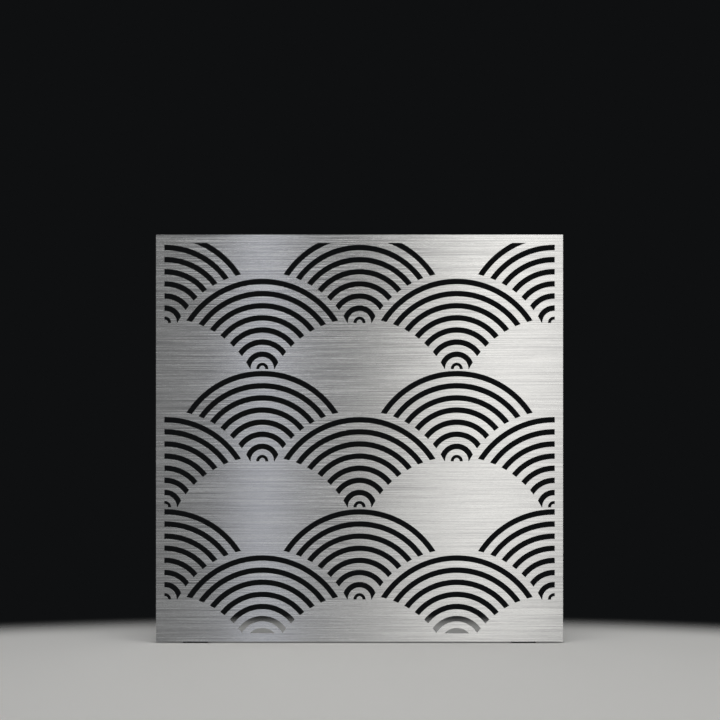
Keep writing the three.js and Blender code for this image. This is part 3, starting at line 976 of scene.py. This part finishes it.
def spread(tree, value, low, high, from_low=0.3, from_high=0.7):
    """Stretches the middle of a pattern's range, where noise mostly lies, to low and high."""
    return add_node(
        tree,
        "ShaderNodeMapRange",
        {"Value": value, 1: from_low, 2: from_high, 3: low, 4: high},
    ).outputs[0]


def weighted(tree, *parts):
    """Adds patterns together, each times its share."""
    total = 0.0
    for value, share in parts:
        total = add_node(
            tree, "ShaderNodeMath", {0: value, 1: share, 2: total}, operation="MULTIPLY_ADD"
        ).outputs[0]
    return total


def blend_colours(tree, factor, first, second):
    # The mix node's colour sockets are its seventh and eighth inputs and its third output.
    mix = add_node(tree, "ShaderNodeMix", {"Factor": factor}, data_type="RGBA")
    mix.inputs[6].default_value = linear(first)
    mix.inputs[7].default_value = linear(second)
    return mix.outputs[2]


def dress(tree, shader, colour, roughness):
    tree.links.new(colour, shader.inputs["Base Color"])
    tree.links.new(roughness, shader.inputs["Roughness"])


def raise_relief(tree, shader, pattern, strength, depth):
    """Bumps the surface by a pattern whose full range is the depth."""
    bump = add_node(
        tree, "ShaderNodeBump", {"Height": pattern, "Strength": strength, "Distance": depth}
    )
    tree.links.new(bump.outputs[0], shader.inputs["Normal"])


def brushed_stainless():
    """304 stainless, belt-brushed sideways.

    The belt leaves long shallow scratches, so light runs up and down the sheet in soft
    bands. Such scratches are about 0.1 mm wide. The main ones are drawn 1.7 mm wide so that
    they show, with hairlines drawn 0.35 mm wide between them.
    """
    material, tree, shader = start_material(
        "brushed_stainless", {"Metallic": 1.0, "Anisotropic": 0.9}
    )
    place = grain_map(tree, shader)
    belt_lines = stretched_noise(tree, place, (1.7, 900, 1), detail=3.0, roughness=0.6)
    short_lines = stretched_noise(tree, place, (1.7, 170, 1), detail=1.0, shift=3.1)
    hairlines = stretched_noise(tree, place, (0.35, 60, 1), detail=2.0, shift=6.1)
    flecks = stretched_noise(tree, place, (1.8, 12, 1), detail=2.0, shift=4.3)
    wide_bands = stretched_noise(tree, place, (16, 900, 1), detail=2.0, shift=5.7)
    lines = weighted(
        tree,
        (belt_lines, 0.4),
        (short_lines, 0.34),
        (flecks, 0.09),
        (hairlines, 0.1),
        (wide_bands, 0.07),
    )
    lightness = spread(tree, lines, 0, 1, from_low=0.405, from_high=0.595)
    colour = blend_colours(tree, lightness, "#bababa", "#eeeeec")
    dress(tree, shader, colour, spread(tree, lightness, 0.18, 0.28, from_low=0, from_high=1))
    raise_relief(tree, shader, hairlines, strength=0.15, depth=0.05 * MM)
    return material


def laser_cut_edge():
    """The same sheet where the laser went through: fine ridges and a duller tone."""
    material, tree, shader = start_material("laser_cut_edge", {"Metallic": 1.0})
    ridges = stretched_noise(tree, object_place(tree), (0.4, 6, 0.4), detail=1.0)
    colour = blend_colours(tree, spread(tree, ridges, 0, 1), "#8e8d8b", "#b0aeac")
    dress(tree, shader, colour, spread(tree, ridges, 0.5, 0.38))
    raise_relief(tree, shader, ridges, strength=0.3, depth=0.1 * MM)
    return material


def mill_stainless():
    """Cold-rolled 304 with its mill finish: silky, faintly clouded, with fine roll lines."""
    material, tree, shader = start_material(
        "mill_stainless", {"Metallic": 1.0, "Anisotropic": 0.5}
    )
    place = grain_map(tree, shader)
    clouds = stretched_noise(tree, place, (30, 60, 1), detail=3.0)
    roll_lines = stretched_noise(tree, place, (0.9, 150, 1), detail=3.0, shift=1.7)
    tone = weighted(tree, (clouds, 0.5), (roll_lines, 0.5))
    lightness = spread(tree, tone, 0, 1, from_low=0.38, from_high=0.62)
    colour = blend_colours(tree, lightness, "#b4b6b7", "#d2d3d3")
    dress(tree, shader, colour, spread(tree, clouds, 0.32, 0.42))
    raise_relief(tree, shader, roll_lines, strength=0.1, depth=0.1 * MM)
    return material


def blasted_plate():
    """Hot-rolled stainless plate, bead-blasted: an even satin of tiny dimples."""
    material, tree, shader = start_material("blasted_stainless_plate", {"Metallic": 1.0})
    place = object_place(tree)
    dimples = stretched_noise(tree, place, (1.1, 1.1, 1.1), detail=4.0, roughness=0.65)
    clouds = stretched_noise(tree, place, (50, 50, 50), detail=2.0, shift=2.3)
    tone = weighted(tree, (dimples, 0.5), (clouds, 0.5))
    lightness = spread(tree, tone, 0, 1, from_low=0.4, from_high=0.6)
    colour = blend_colours(tree, lightness, "#b2b2b0", "#cfcfcd")
    dress(tree, shader, colour, spread(tree, dimples, 0.4, 0.5))
    raise_relief(tree, shader, dimples, strength=0.5, depth=0.25 * MM)
    return material


def bright_fastener():
    """Cold-formed A2 stainless: bright, with faint tool marks."""
    material, tree, shader = start_material("bright_fastener_steel", {"Metallic": 1.0})
    marks = stretched_noise(tree, object_place(tree), (2, 0.4, 2), detail=2.0)
    colour = blend_colours(tree, spread(tree, marks, 0, 1), "#c2c3c4", "#d6d6d6")
    dress(tree, shader, colour, spread(tree, marks, 0.22, 0.34))
    return material


def moulded_rubber():
    """Black EPDM sheet rubber, moulded matt."""
    material, tree, shader = start_material("moulded_rubber", {"IOR": 1.5})
    grain = stretched_noise(tree, object_place(tree), (0.8, 0.8, 0.8), detail=3.0)
    colour = blend_colours(tree, spread(tree, grain, 0, 1), "#191919", "#262627")
    dress(tree, shader, colour, spread(tree, grain, 0.7, 0.85))
    raise_relief(tree, shader, grain, strength=0.25, depth=0.2 * MM)
    return material


# ------------------------------------------------------------------ joining the model


def finish_piece(piece, material, slot, *nodes):
    """Gives a piece its material, if it has none yet, and its place in the model."""
    if material and not [m for m in piece.data.materials if m]:
        piece.data.materials.clear()
        piece.data.materials.append(material)
    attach(piece, "root")
    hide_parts(*nodes)


# ------------------------------------------------------------------ camera and light

VIEW_DISTANCE = 4.0  # from the lens to the sheet's face
VIEW_WIDTH = 1.7695  # how much of the sheet's plane the picture takes in
CAMERA_HEIGHT = 0.696
CAMERA_X = 0.0012
SENSOR_WIDTH = 36  # in millimetres, as the lens's own length is
FARTHEST_SEEN = 100

DARK_BACKDROP = "#0f1011"
STUDIO_WHITE = "#e6e7e8"

# The fill light's level by direction, and the Y or Z of a direction between which it changes.
FRONT_FILL = 0.25
REAR_FILL = 0.44
LOW_FILL = 0.5
OVERHEAD_FILL = 0.13
FRONT_TO_REAR = (-0.3, 0.3)
LOW_TO_LEVEL = (-0.6, -0.2)
LEVEL_TO_OVERHEAD = (0.2, 0.8)

LAMPS_BEHIND_LENS = 0.75
MID_SCREEN = (0, 0, 0.5)

PALE_FLOOR = "#cfcecb"
FLOOR_SIZE = 6
FLOOR_OVAL_Y = -0.72  # the middle of the oval, in front of the screen
FLOOR_OVAL_SQUEEZE = 0.5  # of its width, which makes it twice as wide as it is deep
FLOOR_FADE = (0.74, 1.04)  # where it starts and ends, measured from the middle to the front


def eased(tree, value, ends, first, last, curve="SMOOTHSTEP"):
    """Runs softly from the first value to the last while the input passes between the ends."""
    start, end = ends
    return add_node(
        tree,
        "ShaderNodeMapRange",
        {"Value": value, 1: start, 2: end, 3: first, 4: last},
        interpolation_type=curve,
    ).outputs[0]


def place_camera():
    lens = bpy.data.cameras.new("camera")
    lens.sensor_width = SENSOR_WIDTH
    lens.lens = SENSOR_WIDTH * VIEW_DISTANCE / VIEW_WIDTH
    lens.clip_end = FARTHEST_SEEN
    camera = add_object("camera", lens)
    camera.location = (CAMERA_X, SHEET_FRONT - VIEW_DISTANCE, CAMERA_HEIGHT)
    camera.rotation_euler = (QUARTER_TURN, 0, 0)
    bpy.context.scene.camera = camera


def softbox(name, centre, aim, size, colour, radiance, fade, lean=0.0):
    """An area lamp whose brightness dies away over a share of its width at each side.

    Its top leans to the viewer's right by so many degrees.
    """
    width, height = size
    lamp = bpy.data.lights.new(name, "AREA")
    lamp.shape = "RECTANGLE"
    lamp.size = width
    lamp.size_y = height
    lamp.color = linear(colour)[:3]
    lamp.energy = radiance * math.pi * width * height
    lamp.use_nodes = True
    tree = lamp.node_tree
    emission = tree.nodes["Emission"]
    spot = add_node(tree, "ShaderNodeNewGeometry").outputs["Parametric"]
    across = add_node(tree, "ShaderNodeSeparateXYZ", {0: spot}).outputs[0]
    rise = eased(tree, across, (0.0, fade[0]), 0.0, 1.0)
    fall = eased(tree, across, (1.0, 1.0 - fade[1]), 0.0, 1.0)
    both = add_node(tree, "ShaderNodeMath", {0: rise, 1: fall}, operation="MULTIPLY")
    tree.links.new(both.outputs[0], emission.inputs["Strength"])
    placed = add_object(name, lamp)
    placed.location = centre
    aimed = (Vector(aim) - Vector(centre)).to_track_quat("-Z", "Y")
    leaned = aimed.to_matrix() @ Matrix.Rotation(-math.radians(lean), 3, "Z")
    placed.rotation_euler = leaned.to_euler()
    placed.visible_camera = False


def fill_the_studio():
    """Even light from all round, over a backdrop that only the camera sees."""
    world = bpy.data.worlds.new("studio")
    bpy.context.scene.world = world
    world.use_nodes = True
    tree = world.node_tree
    tree.nodes.clear()
    seen = add_node(tree, "ShaderNodeLightPath").outputs["Is Camera Ray"]
    way = add_node(tree, "ShaderNodeTexCoord").outputs["Generated"]
    direction = add_node(tree, "ShaderNodeSeparateXYZ", {0: way}).outputs
    around_it = eased(tree, direction[1], FRONT_TO_REAR, FRONT_FILL, REAR_FILL)
    rising = eased(tree, direction[2], LOW_TO_LEVEL, LOW_FILL, around_it)
    level = eased(tree, direction[2], LEVEL_TO_OVERHEAD, rising, OVERHEAD_FILL)
    fill = add_node(
        tree, "ShaderNodeBackground", {"Color": linear(STUDIO_WHITE), "Strength": level}
    )
    backdrop = add_node(tree, "ShaderNodeBackground", {"Color": linear(DARK_BACKDROP)})
    mix = add_node(
        tree, "ShaderNodeMixShader", {0: seen, 1: fill.outputs[0], 2: backdrop.outputs[0]}
    )
    add_node(tree, "ShaderNodeOutputWorld", {"Surface": mix.outputs[0]})


def light_the_face():
    """Three softboxes behind the lens, whose reflections shade the sheet from side to side."""
    lamp_y = SHEET_FRONT - VIEW_DISTANCE - LAMPS_BEHIND_LENS
    softbox(
        "key_right",
        centre=(0.92, lamp_y, 1.2),
        aim=(0.92, 0, 1.2),
        size=(2.0, 4.5),
        colour="#fffdfa",
        radiance=1.14,
        fade=(0.46, 0.5),
        lean=8,
    )
    softbox(
        "strip_left",
        centre=(-0.53, lamp_y, CAMERA_HEIGHT),
        aim=(-0.53, 0, CAMERA_HEIGHT),
        size=(0.4, 4.5),
        colour="#ebefff",
        radiance=0.8,
        fade=(0.5, 0.5),
    )
    softbox(
        "low_centre",
        centre=(-0.14, lamp_y, -0.45),
        aim=(-0.14, 0, -0.45),
        size=(1.4, 2.2),
        colour="#ffffff",
        radiance=0.38,
        fade=(0.45, 0.4),
    )


def light_all_round():
    """Softboxes above, at the sides and behind, for the frame, the feet and the floor."""
    softbox(
        "top",
        centre=(0.2, -1.15, 3.0),
        aim=(0, -0.6, 0),
        size=(2.6, 2.0),
        colour="#ffffff",
        radiance=3.8,
        fade=(0.1, 0.1),
    )
    softbox(
        "side_left",
        centre=(-2.9, -4.0, 1.0),
        aim=MID_SCREEN,
        size=(3.2, 3.2),
        colour="#f6f8ff",
        radiance=0.8,
        fade=(0.4, 0.5),
    )
    softbox(
        "side_right",
        centre=(3.9, -3.3, 1.0),
        aim=MID_SCREEN,
        size=(2.2, 3.2),
        colour="#fffdf9",
        radiance=0.6,
        fade=(0.4, 0.4),
    )
    for name, x, colour in (("flank_left", -4.2, "#f6f8ff"), ("flank_right", 4.2, "#fffdf9")):
        softbox(
            name,
            centre=(x, 0.4, 1.0),
            aim=MID_SCREEN,
            size=(2.2, 2.4),
            colour=colour,
            radiance=0.9,
            fade=(0.4, 0.4),
        )
    softbox(
        "rear",
        centre=(-0.6, 3.4, 0.9),
        aim=(0, 0, 0.6),
        size=(3.2, 1.8),
        colour="#f8faff",
        radiance=1.3,
        fade=(0.4, 0.4),
    )


def lay_floor():
    """A pale matt floor, an oval under the screen that gives way to the dark backdrop."""
    shape = bmesh.new()
    bmesh.ops.create_grid(shape, x_segments=2, y_segments=2, size=FLOOR_SIZE)
    mesh = bpy.data.meshes.new("studio_floor")
    shape.to_mesh(mesh)
    shape.free()
    floor = add_object("studio_floor", mesh)
    material, tree, shader = start_material("pale_matt_floor", {"Roughness": 0.9})
    shader.inputs["Base Color"].default_value = linear(PALE_FLOOR)
    centred = add_node(
        tree,
        "ShaderNodeMapping",
        {
            "Vector": object_place(tree),
            "Location": (0, -FLOOR_OVAL_Y, 0),
            "Scale": (FLOOR_OVAL_SQUEEZE, 1, 1),
        },
    )
    away = add_node(tree, "ShaderNodeVectorMath", {0: centred.outputs[0]}, operation="LENGTH")
    fade = eased(tree, away.outputs["Value"], FLOOR_FADE, 0.0, 1.0, curve="SMOOTHERSTEP")
    gone = add_node(tree, "ShaderNodeBsdfTransparent")
    mix = add_node(
        tree, "ShaderNodeMixShader", {0: fade, 1: shader.outputs[0], 2: gone.outputs[0]}
    )
    tree.links.new(mix.outputs[0], tree.nodes["Material Output"].inputs["Surface"])
    mesh.materials.append(material)
    floor.visible_glossy = False


# ------------------------------------------------------------------ putting it together

place_camera()
fill_the_studio()
light_the_face()
light_all_round()
lay_floor()

mill = mill_stainless()
finish_piece(
    make_sheet(brushed_stainless(), laser_cut_edge()), None, "brushed_stainless", "screen_sheet"
)
make_frame(mill)
make_corner_plates(mill)
make_feet(blasted_plate(), moulded_rubber())
make_fasteners(bright_fastener())

bpy.context.scene.view_settings.view_transform = "Standard"
